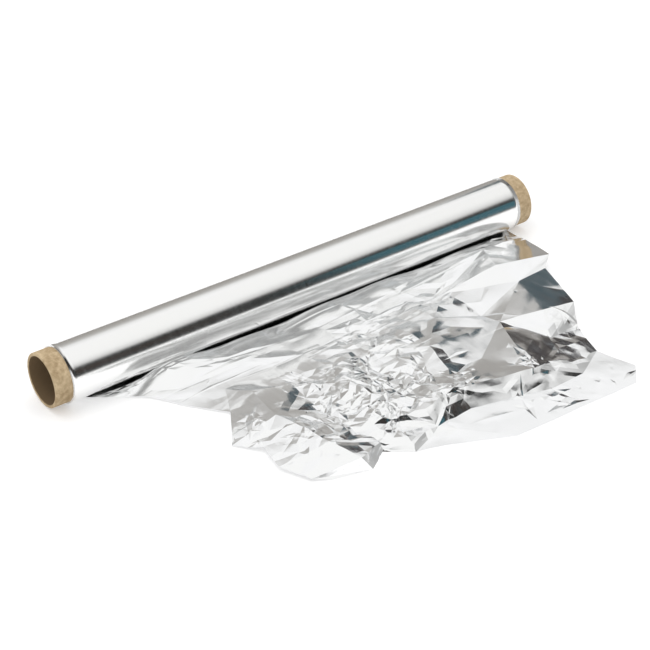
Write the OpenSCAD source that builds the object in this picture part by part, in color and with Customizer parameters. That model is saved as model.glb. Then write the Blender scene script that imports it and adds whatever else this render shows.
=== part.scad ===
// A roll of household aluminium foil on a cardboard core. It lies on its side,
// and the end of the web is pulled out in front, gathered and crumpled.

/* [Core] */
// Inner diameter of the cardboard tube
core_bore = 25.4; // [20:0.1:40]
// Wall of the tube, all its plies together
core_wall = 1.8; // [1:0.1:3]
// How far the tube stands out past the foil at each end
core_stand = 9.2; // [2:0.1:20]
// Bevel on the tube's cut rims
rim_bevel = 0.25; // [0.1:0.05:0.4]

/* [Wound foil] */
// Width of the foil web
foil_width = 290; // [200:5:450]
// Thickness of all the wound turns together
wound = 0.75; // [0.5:0.05:12]
// Groups of turns whose edges show at the roll's ends
turn_groups = 3; // [2:1:6]
// How far one group of turns stands past the next at the ends
turn_stagger = 0.3; // [0.1:0.05:1]

/* [Pulled-out tail] */
// How far the tail reaches in front of the roll's axis
tail_reach = 160; // [100:5:260]
// Height of the tail's highest fold above the surface
tail_lift = 11; // [6:0.5:16]
// Thickness that stands in for the single layer of foil
sheet = 0.4; // [0.3:0.05:0.8]
// How far the web runs flat before its first crease
flat_run = 7; // [4:0.5:10]

/* [Crumple] */
// How far the larger creases between the main folds stray
crumple = 2.4; // [0:0.1:3]
// How far the finest creases stray
crinkle = 1.2; // [0:0.1:1.5]
// Which of many alike crumple patterns is used
pattern = 4; // [1:1:40]

/* [Hidden] */
$fn = 96;
core_r = core_bore / 2 + core_wall;
roll_r = core_r + wound;
surface_z = -roll_r;

// Where the main folds meet, one row after another from the roll to the cut edge.
// Each row runs from the web's left edge to its right edge. A point is
// [across, out, lift, crumple] as percentages of half the web's width, of the
// tail's reach, of its lift and of the full crumple. Next to the roll the web is
// calm, the left is gathered into pillows, the middle is crushed, the right is a
// fan of large panels, and the front right ends flat in the straight cut edge.
rows = [
    [[-83, 10, 0, 5], [-66, 9, 3, 5], [-45, 9, 5, 5], [-26, 9, 4, 5], [-7, 9, 6, 5],
     [12, 9, 4, 5], [32, 9, 6, 5], [51, 9, 5, 5], [72, 9, 8, 10], [99.5, 9, 5, 5]],
    [[-75, 16, 3, 10], [-58, 16, 8, 15], [-39, 16, 6, 10], [-21, 16, 9, 10], [-3, 16, 6, 5],
     [15, 16, 8, 5], [34, 16, 9, 5], [55, 15, 28, 20], [77, 14, 40, 20], [98, 15, 30, 15]],
    [[-68, 26, 3, 10], [-52, 27, 14, 20], [-34, 26, 8, 15], [-18, 26, 18, 25], [0, 27, 12, 35],
     [16, 27, 20, 45], [32, 25, 20, 35], [48, 25, 25, 55], [72, 26, 80, 20], [94, 31, 75, 10]],
    [[-58, 38, 12, 10], [-47, 35, 45, 15], [-32, 38, 20, 30], [-16, 39, 40, 65], [1, 38, 30, 90],
     [18, 37, 50, 60], [33, 36, 40, 35], [50, 42, 8, 20], [74, 36, 50, 10], [88, 35, 50, 5]],
    [[-68, 52, 5, 30], [-50, 52, 70, 20], [-33, 54, 15, 60], [-18, 51, 75, 100], [0, 49, 40, 90],
     [18, 50, 65, 45], [36, 50, 45, 20], [50, 51, 45, 10], [66, 56, 70, 15], [79, 58, 65, 5]],
    [[-61, 60, 25, 20], [-47, 65, 85, 15], [-32, 66, 45, 90], [-18, 64, 75, 100], [-1, 61, 45, 60],
     [14, 64, 65, 30], [29, 64, 45, 10], [43, 65, 70, 10], [59, 67, 30, 40], [74, 65, 10, 30]],
    [[-63, 70, 20, 10], [-46, 74, 90, 15], [-31, 75, 40, 60], [-19, 73, 60, 100], [-8, 77, 75, 60],
     [6, 75, 95, 20], [21, 78, 85, 25], [37, 81, 85, 25], [53, 81, 45, 50], [68, 80, 8, 20]],
    [[-58, 80, 12, 5], [-41, 84, 60, 10], [-29, 79, 30, 40], [-20, 82, 35, 80], [-7, 82, 15, 50],
     [9, 80.5, 12, 10], [24, 83.5, 10, 10], [41, 87, 8, 15], [54, 87, 12, 20], [73, 93, 3, 5]],
    [[-52, 83, 0, 0], [-38, 86, 0, 0], [-29.5, 81, 0, 10], [-21, 87, 0, 20], [-10, 90, 0, 10],
     [12, 99, 0, 0], [28, 99.5, 0, 0], [43, 99.5, 0, 0], [55, 100, 0, 0], [66, 100, 0, 0]]
];
// Where the web's left edge has drawn in by the end of the flat run
left_start = -92;
// Column after which the front edge is the clean straight cut
cut_column = 5;
// Facets along each side of a cell between four main folds
facets = 4;

cells_x = len(rows[0]) - 1;
cells_y = len(rows);
// Each level of creases halves the one before, so the count is even
split = 2 * round(facets / 2);
// The sheet's first row starts inside the flat run, this far in from its end,
// its faces and its sides
root_lap = 0.6;
root_inset = 0.05;
side_inset = 0.3;
// Distance from the roll's lowest line at which the flat run comes free
run_start = 1;

// A place on the sheet: x, y, z and the share of the crumple there
function placed(p) = [
    p[0] / 100 * foil_width / 2,
    -p[1] / 100 * tail_reach,
    surface_z + p[2] / 100 * tail_lift,
    p[3] / 100
];

// The first row lies inside the end of the flat run
start_row = [
    for (i = [0:cells_x])
        let (left = left_start / 100 * foil_width / 2 + side_inset,
             right = foil_width / 2 - side_inset)
        [left + (right - left) * i / cells_x,
         -flat_run + root_lap, surface_z + root_inset, 0]
];
main_folds = concat([start_row], [for (r = rows) [for (p = r) placed(p)]]);

// Linear over two triangles in each cell of a grid of points. Neighbouring
// main cells lean their diagonals opposite ways, and finer grids follow them.
function leans_left(a, b) =
    (floor(min(a, split * cells_x - 0.5) / split)
     + floor(min(b, split * cells_y - 0.5) / split)) % 2 == 1;

function over(p00, p10, p01, p11, u, v, left) =
    left
    ? (u + v < 1
       ? p00 + u * (p10 - p00) + v * (p01 - p00)
       : p11 + (1 - u) * (p01 - p11) + (1 - v) * (p10 - p11))
    : (u > v
       ? p00 + u * (p10 - p00) + v * (p11 - p10)
       : p00 + v * (p01 - p00) + u * (p11 - p01));

function across_grid(grid, step, a, b) =
    let (i = min(floor(a / step), len(grid[0]) - 2),
         j = min(floor(b / step), len(grid) - 2))
    over(grid[j][i], grid[j][i + 1], grid[j + 1][i], grid[j + 1][i + 1],
         a / step - i, b / step - j, leans_left(a, b));

// Stray of a crease point, the same each time for the same place, level and pattern
seed_step = [7919, 3571, 131];
function stray(a, b, level, size) =
    size * rands(-1, 1, 3, [pattern, level, b] * seed_step + a);

half = split / 2;
mid_folds = [
    for (b = [0:2 * cells_y]) [
        for (a = [0:2 * cells_x])
            a % 2 == 0 && b % 2 == 0 || b == 0 ? [0, 0, 0] : stray(a, b, 1, crumple)
    ]
];

function is_cut(a, b) = b == split * cells_y && a >= split * cut_column;

function crease_point(a, b) =
    let (base = across_grid(main_folds, split, a, b),
         place = [base[0], base[1], base[2]],
         mid = across_grid(mid_folds, half, a, b),
         fine = a % half == 0 && b % half == 0 ? [0, 0, 0] : stray(a, b, 2, crinkle),
         share = is_cut(a, b) ? 0 : base[3],
         p = place + share * (mid + fine))
    b == 0 ? place : [p[0], p[1], max(surface_z, p[2])];

steps_x = split * cells_x;
steps_y = split * cells_y;
points_x = steps_x + 1;
layer = points_x * (steps_y + 1);
under_side = [for (b = [0:steps_y]) for (a = [0:steps_x]) crease_point(a, b)];
root_sheet = sheet - 2 * root_inset;
upper_side = [
    for (k = [0:layer - 1])
        under_side[k] + [0, 0, k < points_x ? root_sheet : sheet]
];

function at(a, b) = b * points_x + a;
function halves(a, b) =
    leans_left(a, b)
    ? [[at(a, b), at(a + 1, b), at(a, b + 1)],
       [at(a + 1, b), at(a + 1, b + 1), at(a, b + 1)]]
    : [[at(a, b), at(a + 1, b), at(a + 1, b + 1)],
       [at(a, b), at(a + 1, b + 1), at(a, b + 1)]];
skin = [for (b = [0:steps_y - 1]) for (a = [0:steps_x - 1]) each halves(a, b)];
edge = concat(
    [for (a = [0:steps_x - 1]) at(a, 0)],
    [for (b = [0:steps_y - 1]) at(steps_x, b)],
    [for (a = [steps_x:-1:1]) at(a, steps_y)],
    [for (b = [steps_y:-1:1]) at(0, b)]
);
sheet_faces = concat(
    [for (t = skin) [t[0], t[2], t[1]]],
    [for (t = skin) [t[0], t[1], t[2]] + [layer, layer, layer]],
    [for (k = [0:len(edge) - 1])
        let (p = edge[k], q = edge[(k + 1) % len(edge)])
        each [[p, q, q + layer], [p, q + layer, p + layer]]]
);

// Closed tube or winding around the X axis, its ends shaped by the given rim
module around_x(section) {
    rotate([0, 90, 0]) rotate_extrude() polygon(section);
}

module core() {
    half_length = foil_width / 2 + core_stand;
    inner = core_bore / 2;
    color("burlywood") around_x([
        [inner + rim_bevel, -half_length], [core_r - rim_bevel, -half_length],
        [core_r, -half_length + rim_bevel], [core_r, half_length - rim_bevel],
        [core_r - rim_bevel, half_length], [inner + rim_bevel, half_length],
        [inner, half_length - rim_bevel], [inner, -half_length + rim_bevel]
    ]);
}

// The wound turns. At the ends the edges of the turns stand a little in and out.
module wound_turns() {
    lap = wound / turn_groups;
    end = foil_width / 2;
    right = [
        for (k = [0:turn_groups - 1]) each [
            [core_r + k * lap, end - turn_stagger * (1 - k % 2)],
            [core_r + (k + 1) * lap, end - turn_stagger * (k % 2)]
        ]
    ];
    left = [for (k = [len(right) - 1:-1:0]) [right[k][0], -right[k][1]]];
    around_x(concat(right, left));
}

// The web leaves the underside of the roll and lies flat for a little way
module flat_web() {
    end = foil_width / 2;
    translate([0, 0, surface_z]) linear_extrude(sheet) polygon([
        [-end + run_start, -run_start], [end - run_start, -run_start],
        [end, -flat_run], [left_start / 100 * end, -flat_run]
    ]);
}

module crumpled_tail() {
    polyhedron(points = concat(under_side, upper_side), faces = sheet_faces);
}

module foil() {
    color("silver") union() {
        wound_turns();
        flat_web();
        crumpled_tail();
    }
}

core();
foil();
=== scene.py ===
import math
import random
import bpy
import bmesh
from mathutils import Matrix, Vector
from mathutils.kdtree import KDTree


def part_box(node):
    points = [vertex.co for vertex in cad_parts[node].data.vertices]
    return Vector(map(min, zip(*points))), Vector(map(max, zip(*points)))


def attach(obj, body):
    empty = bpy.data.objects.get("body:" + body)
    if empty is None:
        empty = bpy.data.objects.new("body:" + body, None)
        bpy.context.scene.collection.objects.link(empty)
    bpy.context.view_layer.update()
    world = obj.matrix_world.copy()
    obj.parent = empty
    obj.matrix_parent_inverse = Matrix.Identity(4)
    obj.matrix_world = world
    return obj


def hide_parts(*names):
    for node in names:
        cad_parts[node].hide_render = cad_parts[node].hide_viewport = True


# Foil roll on a cardboard core, with the end of its web pulled out and crumpled.
# +X runs along the roll, -Y towards the tail, and every length is in metres.
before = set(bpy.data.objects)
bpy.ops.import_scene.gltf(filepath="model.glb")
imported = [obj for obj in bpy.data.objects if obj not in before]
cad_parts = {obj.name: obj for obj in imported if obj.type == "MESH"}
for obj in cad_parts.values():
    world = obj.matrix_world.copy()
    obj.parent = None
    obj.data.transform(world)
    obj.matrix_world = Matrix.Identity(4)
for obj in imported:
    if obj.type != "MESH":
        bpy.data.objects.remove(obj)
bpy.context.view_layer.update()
coreLow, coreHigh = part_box("core")
foilLow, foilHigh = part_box("foil")
tableZ = foilLow.z
rollRadius = foilHigh.z
mm = 0.001


def newMaterial(name):
    material = bpy.data.materials.new(name)
    material.use_nodes = True
    material.node_tree.nodes.clear()
    return material, material.node_tree.nodes, material.node_tree.links


def addNode(nodes, kind, **settings):
    node = nodes.new(kind)
    for key, value in settings.items():
        setattr(node, key, value)
    return node


def addMath(nodes, links, operation, *values):
    # Each value is a number or the output of another node
    node = addNode(nodes, "ShaderNodeMath", operation=operation)
    for socket, value in zip(node.inputs, values):
        if isinstance(value, (int, float)):
            socket.default_value = value
        else:
            links.new(value, socket)
    return node.outputs[0]


def addRange(nodes, links, source, fromMin, fromMax, toMin=0, toMax=1, kind="LINEAR"):
    node = addNode(nodes, "ShaderNodeMapRange", interpolation_type=kind)
    links.new(source, node.inputs["Value"])
    node.inputs["From Min"].default_value = fromMin
    node.inputs["From Max"].default_value = fromMax
    node.inputs["To Min"].default_value = toMin
    node.inputs["To Max"].default_value = toMax
    return node.outputs["Result"]


def addRamp(nodes, links, source, stops):
    # Stops are (place, colour), the lowest place first
    node = addNode(nodes, "ShaderNodeValToRGB")
    elements = node.color_ramp.elements
    while len(elements) < len(stops):
        elements.new(0.5)
    for element, (place, colour) in zip(elements, stops):
        element.position = place
        element.color = colour
    links.new(source, node.inputs["Fac"])
    return node.outputs["Color"]


def addMix(nodes, links, factor, first, second):
    # Each colour is four numbers or the output of another node
    node = addNode(nodes, "ShaderNodeMix", data_type="RGBA")
    links.new(factor, node.inputs["Factor"])
    for name, colour in (("A", first), ("B", second)):
        if isinstance(colour, tuple):
            node.inputs[name].default_value = colour
        else:
            links.new(colour, node.inputs[name])
    return node.outputs["Result"]


def addNoise(nodes, links, source, scale, detail):
    node = addNode(nodes, "ShaderNodeTexNoise")
    node.inputs["Scale"].default_value = scale
    node.inputs["Detail"].default_value = detail
    links.new(source, node.inputs["Vector"])
    return node


def meshOf(bm, name, material):
    mesh = bpy.data.meshes.new(name)
    bm.to_mesh(mesh)
    bm.free()
    mesh.materials.append(material)
    return mesh


def finishPiece(mesh, name, replaced):
    # A new object at the origin that rides on the only body
    piece = bpy.data.objects.new(name, mesh)
    bpy.context.scene.collection.objects.link(piece)
    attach(piece, "root")
    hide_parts(replaced)
    return piece


def extrudeRing(bm, edges):
    # The new edges and points of one more ring
    made = bmesh.ops.extrude_edge_only(bm, edges=edges)["geom"]
    return ([item for item in made if isinstance(item, bmesh.types.BMEdge)],
            [item for item in made if isinstance(item, bmesh.types.BMVert)])


# Camera

cameraLook = {
    "place": (-0.4982, -0.6958, 0.5247),
    "turn": -36.62,           # degrees about Z from looking along +Y
    "tilt": 57.20,            # degrees up from looking straight down
    "lens": 104.57,
    "sensor": 36.0,
    "farthest": 20,
}


def makeCamera(look):
    data = bpy.data.cameras.new("photoCamera")
    data.lens = look["lens"]
    data.sensor_width = look["sensor"]
    data.clip_end = look["farthest"]
    camera = bpy.data.objects.new("photoCamera", data)
    bpy.context.scene.collection.objects.link(camera)
    camera.location = look["place"]
    camera.rotation_euler = (math.radians(look["tilt"]), 0, math.radians(look["turn"]))
    bpy.context.scene.camera = camera


# Studio

studio = {
    "floorSize": 6.0,
    "floorGap": 0.05 * mm,    # between the floor and what lies on it
    "floorColour": (0.82, 0.82, 0.82, 1),
    "floorGlow": 0.32,        # what the camera and the foil see on top of its own light
    "roomLight": 0.80,        # on plain surfaces
    "lampSize": 1.6,
    "lampPower": 9.0,
    "lampPlace": (-0.2, 0.35, 1.7),
}

# What the foil mirrors, by height above the horizon: (sine of the height, brightness)
skyBands = [(0.00, 0.62), (0.18, 0.42), (0.45, 0.46), (0.62, 0.66), (0.78, 0.95), (1.00, 0.98)]
skyBlue = 0.99                # how much blue the bands keep
darkRoom = {
    "centre": 205.0,          # degrees from +Y towards +X
    "halfWidth": 84.0,
    "softness": 12.0,
    "low": 0.03,              # sine of its lower and upper limits
    "high": 0.56,
    "edge": 0.06,
    "again": 0.20,            # how much of it is left in a second reflection
    "paler": (0.8, 0.8, 0.8, 1),
    "patchScale": 2.2,
    "patchDetail": 2.0,
    "tints": [(0.40, (0.016, 0.018, 0.020, 1)), (0.56, (0.028, 0.028, 0.026, 1)),
              (0.72, (0.060, 0.038, 0.032, 1))],
}


def darkAmount(nodes, links, direction, path):
    # How much of the dark side of the room is in a direction
    angle = addMath(nodes, links, "ARCTAN2", direction.outputs["X"], direction.outputs["Y"])
    shifted = addMath(nodes, links, "SUBTRACT", angle, math.radians(darkRoom["centre"]))
    wrapped = addMath(nodes, links, "WRAP", shifted, math.pi, -math.pi)
    away = addMath(nodes, links, "ABSOLUTE", wrapped)
    halfWidth = darkRoom["halfWidth"]
    side = addRange(nodes, links, away, math.radians(halfWidth + darkRoom["softness"]),
                    math.radians(halfWidth), kind="SMOOTHSTEP")
    edge = darkRoom["edge"]
    low = addRange(nodes, links, direction.outputs["Z"], darkRoom["low"] - edge / 2,
                   darkRoom["low"] + edge / 2, kind="SMOOTHSTEP")
    high = addRange(nodes, links, direction.outputs["Z"], darkRoom["high"] + edge,
                    darkRoom["high"] - edge, kind="SMOOTHSTEP")
    first = addMath(nodes, links, "MULTIPLY", side, low)
    second = addMath(nodes, links, "MULTIPLY", first, high)
    # Foil that shows in foil mirrors a paler room
    fade = addRange(nodes, links, path.outputs["Glossy Depth"], 1, 2, 1, darkRoom["again"])
    return addMath(nodes, links, "MULTIPLY", second, fade)


def makeWorld():
    world = bpy.data.worlds.new("studioWorld")
    bpy.context.scene.world = world
    world.use_nodes = True
    nodes, links = world.node_tree.nodes, world.node_tree.links
    nodes.clear()
    coords = addNode(nodes, "ShaderNodeTexCoord")
    direction = addNode(nodes, "ShaderNodeSeparateXYZ")
    links.new(coords.outputs["Generated"], direction.inputs[0])
    path = addNode(nodes, "ShaderNodeLightPath")
    stops = [(place, (light, light, light * skyBlue, 1)) for place, light in skyBands]
    bands = addRamp(nodes, links, direction.outputs["Z"], stops)
    patches = addNoise(nodes, links, coords.outputs["Generated"], darkRoom["patchScale"],
                       darkRoom["patchDetail"])
    tint = addRamp(nodes, links, patches.outputs["Fac"], darkRoom["tints"])
    mirrored = addMix(nodes, links, darkAmount(nodes, links, direction, path), bands, tint)

    # Plain light on plain surfaces, white behind the object, the bands in the foil
    plain = studio["roomLight"]
    glossy = addMix(nodes, links, path.outputs["Is Glossy Ray"], (plain, plain, plain, 1), mirrored)
    shown = addMix(nodes, links, path.outputs["Is Camera Ray"], glossy, (1, 1, 1, 1))
    background = addNode(nodes, "ShaderNodeBackground")
    links.new(shown, background.inputs["Color"])
    output = addNode(nodes, "ShaderNodeOutputWorld")
    links.new(background.outputs[0], output.inputs["Surface"])


def makeFloor():
    material, nodes, links = newMaterial("whiteFloor")
    diffuse = addNode(nodes, "ShaderNodeBsdfDiffuse")
    diffuse.inputs["Color"].default_value = studio["floorColour"]
    glow = addNode(nodes, "ShaderNodeEmission")
    glow.inputs["Strength"].default_value = studio["floorGlow"]
    path = addNode(nodes, "ShaderNodeLightPath")
    seen = addMath(nodes, links, "MAXIMUM", path.outputs["Is Camera Ray"],
                   path.outputs["Is Glossy Ray"])
    dark = addNode(nodes, "ShaderNodeEmission")
    dark.inputs["Strength"].default_value = 0
    pick = addNode(nodes, "ShaderNodeMixShader")
    links.new(seen, pick.inputs[0])
    links.new(dark.outputs[0], pick.inputs[1])
    links.new(glow.outputs[0], pick.inputs[2])
    total = addNode(nodes, "ShaderNodeAddShader")
    links.new(diffuse.outputs[0], total.inputs[0])
    links.new(pick.outputs[0], total.inputs[1])
    output = addNode(nodes, "ShaderNodeOutputMaterial")
    links.new(total.outputs[0], output.inputs["Surface"])

    bm = bmesh.new()
    bmesh.ops.create_grid(bm, x_segments=1, y_segments=1, size=studio["floorSize"] / 2)
    bmesh.ops.translate(bm, vec=(0, 0, tableZ - studio["floorGap"]), verts=bm.verts)
    floor = bpy.data.objects.new("whiteFloor", meshOf(bm, "whiteFloor", material))
    bpy.context.scene.collection.objects.link(floor)


def makeLamp():
    data = bpy.data.lights.new("topLamp", "AREA")
    data.shape = "SQUARE"
    data.size = studio["lampSize"]
    data.energy = studio["lampPower"]
    lamp = bpy.data.objects.new("topLamp", data)
    lamp.location = studio["lampPlace"]
    lamp.rotation_euler = Vector(studio["lampPlace"]).to_track_quat("Z", "Y").to_euler()
    lamp.visible_glossy = False
    bpy.context.scene.collection.objects.link(lamp)


# Upright boards that stand round the table, out of the picture, and show only in the foil:
# their place in y, their span in x and in z, and their shades by height, in metres

boards = [
    {"name": "backBoard", "y": 0.41, "x": (-1.3, 1.4), "z": (-0.01, 1.1),
     "shades": [(0.0, (0.30, 0.285, 0.265, 1)), (0.20, (0.39, 0.375, 0.355, 1)),
                (0.317, (0.50, 0.49, 0.475, 1)), (0.40, (0.72, 0.715, 0.705, 1)),
                (0.48, (0.84, 0.84, 0.835, 1)), (0.65, (0.94, 0.94, 0.94, 1)),
                (1.0, (0.99, 0.99, 0.99, 1))]},
    {"name": "tealStrip", "y": 0.40, "x": (0.47, 0.58), "z": (0.20, 0.385),
     "shades": [(0.15, (0.08, 0.10, 0.11, 1)), (0.38, (0.055, 0.085, 0.10, 1))]},
    {"name": "darkBoard", "y": 0.40, "x": (0.58, 1.1), "z": (0.17, 0.40),
     "shades": [(0.15, (0.07, 0.06, 0.055, 1)), (0.4, (0.04, 0.04, 0.045, 1))]},
    {"name": "tealBoard", "y": -0.60, "x": (0.40, 0.80), "z": (0.08, 0.34),
     "shades": [(0.0, (0.05, 0.12, 0.15, 1)), (0.3, (0.045, 0.13, 0.16, 1))]},
]


def makeBoards():
    for board in boards:
        material, nodes, links = newMaterial(board["name"])
        coords = addNode(nodes, "ShaderNodeTexCoord")
        place = addNode(nodes, "ShaderNodeSeparateXYZ")
        links.new(coords.outputs["Object"], place.inputs[0])
        shades = addRamp(nodes, links, place.outputs["Z"], board["shades"])
        path = addNode(nodes, "ShaderNodeLightPath")
        fade = addRange(nodes, links, path.outputs["Glossy Depth"], 1, 2, 0, 1 - darkRoom["again"])
        glow = addNode(nodes, "ShaderNodeEmission")
        links.new(addMix(nodes, links, fade, shades, darkRoom["paler"]), glow.inputs["Color"])
        output = addNode(nodes, "ShaderNodeOutputMaterial")
        links.new(glow.outputs[0], output.inputs["Surface"])
        (left, right), (low, high) = board["x"], board["z"]
        bm = bmesh.new()
        bm.faces.new([bm.verts.new((x, board["y"], z))
                      for x, z in ((left, low), (right, low), (right, high), (left, high))])
        piece = bpy.data.objects.new(board["name"], meshOf(bm, board["name"], material))
        bpy.context.scene.collection.objects.link(piece)
        piece.visible_camera = False
        piece.visible_diffuse = False
        piece.visible_shadow = False


# Cardboard core

coreLook = {
    "bore": 25.4 * mm,
    "segments": 128,
    "rim": 0.25 * mm,
    "merge": 0.001 * mm,
    "endNormal": 0.2,         # faces that point along the roll more than this stay flat
    "light": (0.70, 0.55, 0.35, 1),
    "dark": (0.42, 0.30, 0.17, 1),
    # painted shade: a darker kraft for the bore, where shade falls in the tube's hollow
    "inside": (0.17, 0.115, 0.062, 1),
    "insideFrom": 0.30 * mm,  # depth in the wall where the bore's painted shade starts and is full
    "insideFull": 0.05 * mm,
    "fibres": {"scale": 420, "detail": 6, "rough": 0.65, "relief": 0.12 * mm, "strength": 0.35},
    "blotches": {"scale": 90, "detail": 3, "share": 0.35},
    "contrast": (0.38, 0.62),
    "roughness": 0.86,
    "gloss": 0.25,
}


def coreMaterial():
    material, nodes, links = newMaterial("kraftBoard")
    coords = addNode(nodes, "ShaderNodeTexCoord")
    fibres, blotches = coreLook["fibres"], coreLook["blotches"]
    mottle = addNoise(nodes, links, coords.outputs["Object"], fibres["scale"], fibres["detail"])
    mottle.inputs["Roughness"].default_value = fibres["rough"]
    blotch = addNoise(nodes, links, coords.outputs["Object"], blotches["scale"], blotches["detail"])
    both = addNode(nodes, "ShaderNodeMix", data_type="FLOAT")
    both.inputs["Factor"].default_value = blotches["share"]
    links.new(mottle.outputs["Fac"], both.inputs["A"])
    links.new(blotch.outputs["Fac"], both.inputs["B"])
    darkest, lightest = coreLook["contrast"]
    paint = addRamp(nodes, links, both.outputs["Result"],
                    [(darkest, coreLook["dark"]), (lightest, coreLook["light"])])

    # Painted shade in the bore: distance from the axis tells where the tube's hollow is darkened
    squash = addNode(nodes, "ShaderNodeMapping")
    squash.inputs["Scale"].default_value = (0, 1, 1)
    links.new(coords.outputs["Object"], squash.inputs["Vector"])
    radius = addNode(nodes, "ShaderNodeVectorMath", operation="LENGTH")
    links.new(squash.outputs[0], radius.inputs[0])
    inBoreShade = addRange(nodes, links, radius.outputs["Value"],
                      coreLook["bore"] / 2 + coreLook["insideFrom"],
                      coreLook["bore"] / 2 + coreLook["insideFull"])
    colour = addMix(nodes, links, inBoreShade, paint, coreLook["inside"])

    bump = addNode(nodes, "ShaderNodeBump")
    bump.inputs["Strength"].default_value = fibres["strength"]
    bump.inputs["Distance"].default_value = fibres["relief"]
    links.new(mottle.outputs["Fac"], bump.inputs["Height"])
    board = addNode(nodes, "ShaderNodeBsdfPrincipled")
    board.inputs["Roughness"].default_value = coreLook["roughness"]
    board.inputs["Specular IOR Level"].default_value = coreLook["gloss"]
    links.new(colour, board.inputs["Base Color"])
    links.new(bump.outputs["Normal"], board.inputs["Normal"])
    output = addNode(nodes, "ShaderNodeOutputMaterial")
    links.new(board.outputs[0], output.inputs["Surface"])
    return material


def makeCore():
    outer = coreHigh.z
    inner = coreLook["bore"] / 2
    end = coreHigh.x
    rim = coreLook["rim"]
    # A closed section of the wall, spun about the roll's axis
    section = [
        (-end, inner + rim), (-end, outer - rim), (-end + rim, outer), (end - rim, outer),
        (end, outer - rim), (end, inner + rim), (end - rim, inner), (-end + rim, inner),
    ]
    bm = bmesh.new()
    ring = [bm.verts.new((x, 0, r)) for x, r in section]
    edges = [bm.edges.new((ring[i], ring[(i + 1) % len(ring)])) for i in range(len(ring))]
    bmesh.ops.spin(bm, geom=ring + edges, cent=(0, 0, 0), axis=(1, 0, 0), angle=2 * math.pi,
                   steps=coreLook["segments"], use_merge=True)
    bmesh.ops.remove_doubles(bm, verts=bm.verts, dist=coreLook["merge"])
    bmesh.ops.recalc_face_normals(bm, faces=bm.faces)
    for face in bm.faces:
        face.smooth = abs(face.normal.x) < coreLook["endNormal"]
    finishPiece(meshOf(bm, "coreTube", coreMaterial()), "coreTube", "core")
    print("core made")


# Foil. The roll shows its satin side and the tail its bright one.

foilLook = {
    "streakScale": 900,
    "streakDetail": 4,
    "streakRange": (0.3, 0.7),
    "roughRange": (0.8, 1.25),   # times the roughness, from streak to streak
    "waveScale": 60,
    "waveDetail": 2,
}


def foilMaterial(name, look):
    material, nodes, links = newMaterial(name)
    coords = addNode(nodes, "ShaderNodeTexCoord")
    stretch = addNode(nodes, "ShaderNodeMapping")
    stretch.inputs["Scale"].default_value = (1, look["streakStretch"], look["streakStretch"])
    links.new(coords.outputs["Object"], stretch.inputs["Vector"])
    lines = addNoise(nodes, links, stretch.outputs[0], foilLook["streakScale"],
                     foilLook["streakDetail"])
    low, high = (look["roughness"] * share for share in foilLook["roughRange"])
    rough = addRange(nodes, links, lines.outputs["Fac"], *foilLook["streakRange"], low, high)
    waves = addNoise(nodes, links, coords.outputs["Object"], foilLook["waveScale"],
                     foilLook["waveDetail"])
    bumpWaves = addNode(nodes, "ShaderNodeBump")
    bumpWaves.inputs["Strength"].default_value = 1.0
    bumpWaves.inputs["Distance"].default_value = look["waveRelief"]
    links.new(waves.outputs["Fac"], bumpWaves.inputs["Height"])
    bumpLines = addNode(nodes, "ShaderNodeBump")
    bumpLines.inputs["Strength"].default_value = 1.0
    bumpLines.inputs["Distance"].default_value = look["streakRelief"]
    links.new(lines.outputs["Fac"], bumpLines.inputs["Height"])
    links.new(bumpWaves.outputs["Normal"], bumpLines.inputs["Normal"])
    metal = addNode(nodes, "ShaderNodeBsdfPrincipled")
    metal.inputs["Base Color"].default_value = look["colour"]
    metal.inputs["Metallic"].default_value = 1
    links.new(rough, metal.inputs["Roughness"])
    links.new(bumpLines.outputs["Normal"], metal.inputs["Normal"])
    output = addNode(nodes, "ShaderNodeOutputMaterial")
    links.new(metal.outputs[0], output.inputs["Surface"])
    return material


# Wound turns

rollLook = {
    "halfLength": 145 * mm,
    "segments": 180,
    "lengths": 96,
    "wave": 0.05 * mm,        # how far the outer turn strays from a true cylinder
    # Low waves: (strength, waves round the roll, radians a metre along it, start)
    "waves": [(1.0, 3, 21, 0.0), (0.6, 5, -38, 1.3), (0.5, 9, 64, 0.4)],
    # Steps at each end over the edges of the turns: (inwards, outwards), in mm
    "endSteps": [(0.22, -0.25), (0.0, 0.2), (0.26, 0.05), (0.0, -0.3), (0.27, 0.2)],
    "sunk": 0.02 * mm,        # how far the last step goes into the core
    "endNormal": 0.3,         # faces that point along the roll more than this stay flat
    "colour": (0.94, 0.94, 0.935, 1),
    "roughness": 0.17,
    "streakStretch": 0.12,
    "streakRelief": 0.010 * mm,
    "waveRelief": 0.02 * mm,
}


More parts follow.
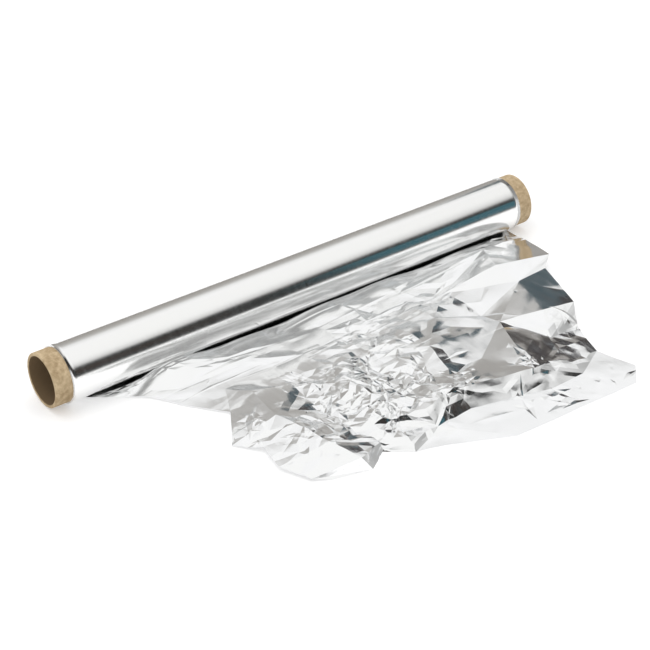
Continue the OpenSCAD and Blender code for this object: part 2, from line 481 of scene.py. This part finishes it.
def makeRoll():
    end = rollLook["halfLength"]
    bm = bmesh.new()
    bmesh.ops.create_circle(bm, segments=rollLook["segments"], radius=rollRadius)
    bmesh.ops.rotate(bm, verts=bm.verts, cent=(0, 0, 0),
                     matrix=Vector((0, 0, 1)).rotation_difference(Vector((1, 0, 0))).to_matrix())
    bmesh.ops.translate(bm, vec=(-end, 0, 0), verts=bm.verts)
    ring = list(bm.edges)
    for step in range(rollLook["lengths"]):
        ring, moved = extrudeRing(bm, ring)
        bmesh.ops.translate(bm, vec=(2 * end / rollLook["lengths"], 0, 0), verts=moved)
    # The outer turn is never a true cylinder: low waves run along the roll
    total = sum(strength for strength, turns, rate, start in rollLook["waves"])
    for vert in bm.verts:
        around = math.atan2(vert.co.z, vert.co.y)
        stray = sum(strength * math.sin(turns * around + rate * vert.co.x + start)
                    for strength, turns, rate, start in rollLook["waves"]) / total
        scale = 1 - rollLook["wave"] * (1 + stray) / 2 / rollRadius
        vert.co.y *= scale
        vert.co.z *= scale
    # Both ends step down over the edges of the turns to the core
    lowest = coreHigh.z - rollLook["sunk"]
    for side in (-1, 1):
        rim = [edge for edge in bm.edges if edge.is_boundary
               and edge.verts[0].co.x * side > 0 and edge.verts[1].co.x * side > 0]
        for inset, push in rollLook["endSteps"]:
            rim, moved = extrudeRing(bm, rim)
            for vert in moved:
                radius = math.hypot(vert.co.y, vert.co.z)
                scale = max(lowest, radius - inset * mm) / radius
                vert.co.y *= scale
                vert.co.z *= scale
                vert.co.x += side * push * mm
    bmesh.ops.recalc_face_normals(bm, faces=bm.faces)
    for face in bm.faces:
        face.smooth = abs(face.normal.x) < rollLook["endNormal"]
    mesh = meshOf(bm, "woundTurns", foilMaterial("rolledFoil", rollLook))
    finishPiece(mesh, "woundTurns", "foil")
    print("roll made")


# Pulled-out tail

tailLook = {
    "flatRun": 7 * mm,
    "merge": 0.002 * mm,
    "steepest": 0.05,         # faces that point down less than this aren't the underside
    "thickness": 0.12 * mm,
    "seed": 11,
    # Creases on top of the solid's own folds: how many, half length in mm, width as a
    # share of it, slope, and the most in mm that one rises or sinks
    "creases": {
        "long": {"count": 56, "long": (14, 34), "narrow": (0.15, 0.4),
                 "slope": (0.03, 0.12), "most": 1.0},
        "medium": {"count": 150, "long": (6, 16), "narrow": (0.25, 0.6),
                   "slope": (0.12, 0.38), "most": 1.4},
        "small": {"count": 120, "long": (2.5, 7), "narrow": (0.3, 0.75),
                  "slope": (0.22, 0.60), "most": 1.0},
    },
    "nearest": -12 * mm,      # how close to the roll's axis a crease may start
    "anywhere": 0.3,          # share of the long creases that lie anywhere
    "faintest": 0.25,         # height of a crease where nothing is crushed, as a share
    "cutMargin": 2.5 * mm,    # how far round a crease faces are cut
    "offSheet": 6 * mm,       # a crease farther than this from the sheet is left out
    "softAngle": 7,           # creases flatter than this, in degrees, shade as curved panels
    # The web springs up in front of the roll, then runs gently down: (y, rise), in mm
    "hump": [(-6.0, 0.0), (-9.5, 2.9), (-11.5, 4.2), (-13, 4.4), (-15, 4.1), (-19, 3.1),
             (-24, 2.0), (-30, 1.0), (-38, 0.3), (-46, 0.0)],
    # Low pillows: (x, y, reach along x, reach along y, rise), in mm
    "pillows": [(-84, -17, 17, 7, 3.0), (-60, -26, 14, 8, 1.2), (116, -20, 12, 8, 1.0)],
    # Long faint creases that run along the roll in the calm strip, in mm
    "ripples": {"count": 26, "x": (-105, 135), "y": (-48, -13), "long": (10, 34),
                "wide": (0.8, 2.4), "turn": 0.12, "rise": 0.28},
    # Where the foil is crushed: (x, y, reach, share), in mm
    "crushed": [(-20, -90, 30, 1.0), (4, -66, 22, 0.9), (16, -44, 15, 0.7), (-34, -68, 18, 0.6),
                (-30, -108, 18, 1.0), (0, -104, 24, 0.7), (74, -52, 14, 0.35), (112, -106, 13, 0.8),
                (62, -118, 20, 0.35), (-86, -84, 13, 0.8), (-70, -116, 24, 0.5),
                (-45, -130, 14, 0.7), (36, -140, 14, 0.5), (58, -146, 14, 0.5)],
    "elsewhere": 0.03,        # share of creases away from those places
    # The flat run's way back under the roll: steps in mm, and how it widens at the left
    "rootSteps": (3.0, 5.0),
    "rootWidening": 0.9,
    "rootLeft": -0.12,
    "colour": (0.955, 0.96, 0.965, 1),
    "roughness": 0.13,
    "streakStretch": 0.04,
    "streakRelief": 0.0008 * mm,
    "waveRelief": 0.05 * mm,
}


def lowerSkin():
    # The underside of the tail, from a merged copy of the CAD mesh, turned to face up
    bm = bmesh.new()
    bm.from_mesh(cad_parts["foil"].data)
    bmesh.ops.remove_doubles(bm, verts=bm.verts, dist=tailLook["merge"])
    bmesh.ops.recalc_face_normals(bm, faces=bm.faces)
    start = -tailLook["flatRun"] - 0.01 * mm
    others = [face for face in bm.faces
              if face.normal.z > -tailLook["steepest"] or face.calc_center_median().y > start
              or min(vert.co.y for vert in face.verts) > start]
    bmesh.ops.delete(bm, geom=others, context="FACES")
    keepLargest(bm)
    bmesh.ops.reverse_faces(bm, faces=bm.faces)
    for vert in bm.verts:
        vert.co.z += springRise(vert.co.x / mm, vert.co.y / mm) * mm
    return bm


def keepLargest(bm):
    # Scraps that hang on nothing are left out
    done = set()
    groups = []
    for start in bm.faces:
        if start in done:
            continue
        done.add(start)
        group = [start]
        for face in group:
            for edge in face.edges:
                for near in edge.link_faces:
                    if near not in done:
                        done.add(near)
                        group.append(near)
        groups.append(group)
    groups.sort(key=len)
    scraps = [face for group in groups[:-1] for face in group]
    bmesh.ops.delete(bm, geom=scraps, context="FACES")
    print("tail skin", len(bm.faces), "faces,", len(groups) - 1, "scraps left out")


def springRise(x, y):
    # How far the web stands up off its solid at a place, all in mm
    rise = 0
    for (near, low), (far, high) in zip(tailLook["hump"], tailLook["hump"][1:]):
        if far < y <= near:
            rise = low + (high - low) * (near - y) / (near - far)
    # It comes and goes along the roll, and runs out at both ends
    rise *= 0.9 + 0.2 * math.sin(x / 19) + 0.12 * math.sin(x / 7.3 + 1)
    rise *= min(1, max(0, (x + 122) / 25)) * min(1, max(0, (143 - x) / 20))
    for px, py, reachX, reachY, height in tailLook["pillows"]:
        rise += height * math.exp(-((x - px) / reachX) ** 2 - ((y - py) / reachY) ** 2)
    return rise if y < tailLook["hump"][0][0] else 0


def facesUnder(anchors, tree, place, ahead, across, arms):
    # The faces under a crease, found outwards from the nearest point of the skin
    spot, number, away = tree.find((place.x, place.y, 0))
    if away > tailLook["offSheet"]:
        return []
    front, behind, left, right = (arm + tailLook["cutMargin"] for arm in arms)
    queue = list(anchors[number].link_faces)
    found = set(queue)
    for face in queue:
        for edge in face.edges:
            for near in edge.link_faces:
                if near in found:
                    continue
                offset = near.calc_center_median() - place
                if -behind < offset.dot(ahead) < front and -right < offset.dot(across) < left:
                    found.add(near)
                    queue.append(near)
    return queue


def creaseSheet(bm, anchors, tree, place, heading, arms, height):
    # A four-sided peak or dent, cut exactly along its ridges and its foot
    u = Vector((math.cos(heading), math.sin(heading), 0))
    v = Vector((-u.y, u.x, 0))
    ahead, behind, left, right = arms
    near = facesUnder(anchors, tree, place, u, v, arms)
    if not near:
        return
    corners = [place + u * ahead, place + v * left, place - u * behind, place - v * right]
    cuts = [(place, v), (place, u)]
    for first, second in zip(corners, corners[1:] + corners[:1]):
        along = (second - first).normalized()
        cuts.append((first, Vector((-along.y, along.x, 0))))
    # A dictionary keeps the order, so that every run cuts alike
    geometry = dict.fromkeys(near)
    for face in near:
        geometry.update(dict.fromkeys(face.edges))
        geometry.update(dict.fromkeys(face.verts))
    for origin, normal in cuts:
        done = bmesh.ops.bisect_plane(bm, geom=list(geometry), dist=0.05 * mm,
                                      plane_co=origin, plane_no=normal)
        geometry.update(dict.fromkeys(done["geom"]))
        geometry = dict.fromkeys(item for item in geometry if item.is_valid)
    for vert in geometry:
        if not isinstance(vert, bmesh.types.BMVert):
            continue
        offset = vert.co - place
        a = offset.dot(u)
        b = offset.dot(v)
        share = 1 - abs(a) / (ahead if a > 0 else behind) - abs(b) / (left if b > 0 else right)
        if share > 0:
            vert.co.z += height * share


def crushedShare(place):
    share = tailLook["elsewhere"]
    for x, y, reach, amount in tailLook["crushed"]:
        away = (place.xy - Vector((x, y)) * mm).length / (reach * mm)
        share = max(share, amount * math.exp(-away * away))
    return share


def crumple(bm):
    dice = random.Random(tailLook["seed"])
    xs = [vert.co.x for vert in bm.verts]
    ys = [vert.co.y for vert in bm.verts]
    anchors = list(bm.verts)
    tree = KDTree(len(anchors))
    for number, vert in enumerate(anchors):
        tree.insert((vert.co.x, vert.co.y, 0), number)
    tree.balance()
    for size, kind in tailLook["creases"].items():
        made = 0
        while made < kind["count"]:
            place = Vector((dice.uniform(min(xs), max(xs)),
                            dice.uniform(min(ys), tailLook["nearest"]), 0))
            share = crushedShare(place)
            if dice.random() > (tailLook["anywhere"] + share if size == "long" else share):
                continue
            long = dice.uniform(*kind["long"]) * mm
            wide = long * dice.uniform(*kind["narrow"])
            arms = [long * dice.uniform(0.5, 1), long * dice.uniform(0.5, 1),
                    wide * dice.uniform(0.4, 1), wide * dice.uniform(0.4, 1)]
            height = min(wide * dice.uniform(*kind["slope"]), kind["most"] * mm)
            faintest = tailLook["faintest"]
            height *= dice.choice((-1, 1)) * (faintest + (1 - faintest) * share)
            creaseSheet(bm, anchors, tree, place, dice.uniform(0, math.pi), arms, height)
            made += 1
        print("tail", size, len(bm.faces), "faces")
    ripples = tailLook["ripples"]
    for step in range(ripples["count"]):
        place = Vector((dice.uniform(*ripples["x"]), dice.uniform(*ripples["y"]), 0)) * mm
        arms = [dice.uniform(*ripples["long"]) * mm, dice.uniform(*ripples["long"]) * mm,
                dice.uniform(*ripples["wide"]) * mm, dice.uniform(*ripples["wide"]) * mm]
        creaseSheet(bm, anchors, tree, place, dice.uniform(-ripples["turn"], ripples["turn"]),
                    arms, dice.uniform(-ripples["rise"], ripples["rise"]) * mm)


def makeTail():
    bm = lowerSkin()
    crumple(bm)
    for vert in bm.verts:
        vert.co.z = max(vert.co.z, tableZ)
    bmesh.ops.triangulate(bm, faces=bm.faces)
    bmesh.ops.dissolve_degenerate(bm, dist=0.03 * mm, edges=bm.edges)
    # The flat run reaches back under the roll
    root = [edge for edge in bm.edges if edge.is_boundary
            and all(vert.co.y > -tailLook["flatRun"] - 0.3 * mm for vert in edge.verts)]
    for reach in tailLook["rootSteps"]:
        root, moved = extrudeRing(bm, root)
        for vert in moved:
            vert.co.y += reach * mm
            vert.co.z = tableZ
            if vert.co.x < tailLook["rootLeft"]:
                vert.co.x -= tailLook["rootWidening"] * reach * mm
    bmesh.ops.triangulate(bm, faces=bm.faces)
    bmesh.ops.recalc_face_normals(bm, faces=bm.faces)
    if sum(face.normal.z for face in bm.faces) < 0:
        bmesh.ops.reverse_faces(bm, faces=bm.faces)
    soft = math.radians(tailLook["softAngle"])
    for edge in bm.edges:
        edge.smooth = len(edge.link_faces) == 2 and edge.calc_face_angle(0) < soft
    for face in bm.faces:
        face.smooth = True
    area = sum(face.calc_area() for face in bm.faces)
    mesh = meshOf(bm, "pulledTail", foilMaterial("crumpledFoil", tailLook))
    piece = finishPiece(mesh, "pulledTail", "foil")
    wall = piece.modifiers.new("thickness", "SOLIDIFY")
    wall.thickness = tailLook["thickness"]
    wall.offset = 1
    print("tail made, area", round(area, 4))


makeCamera(cameraLook)
makeWorld()
makeFloor()
makeLamp()
makeBoards()
print("studio made")
makeCore()
makeRoll()
makeTail()

scene = bpy.context.scene
scene.view_settings.view_transform = "Standard"
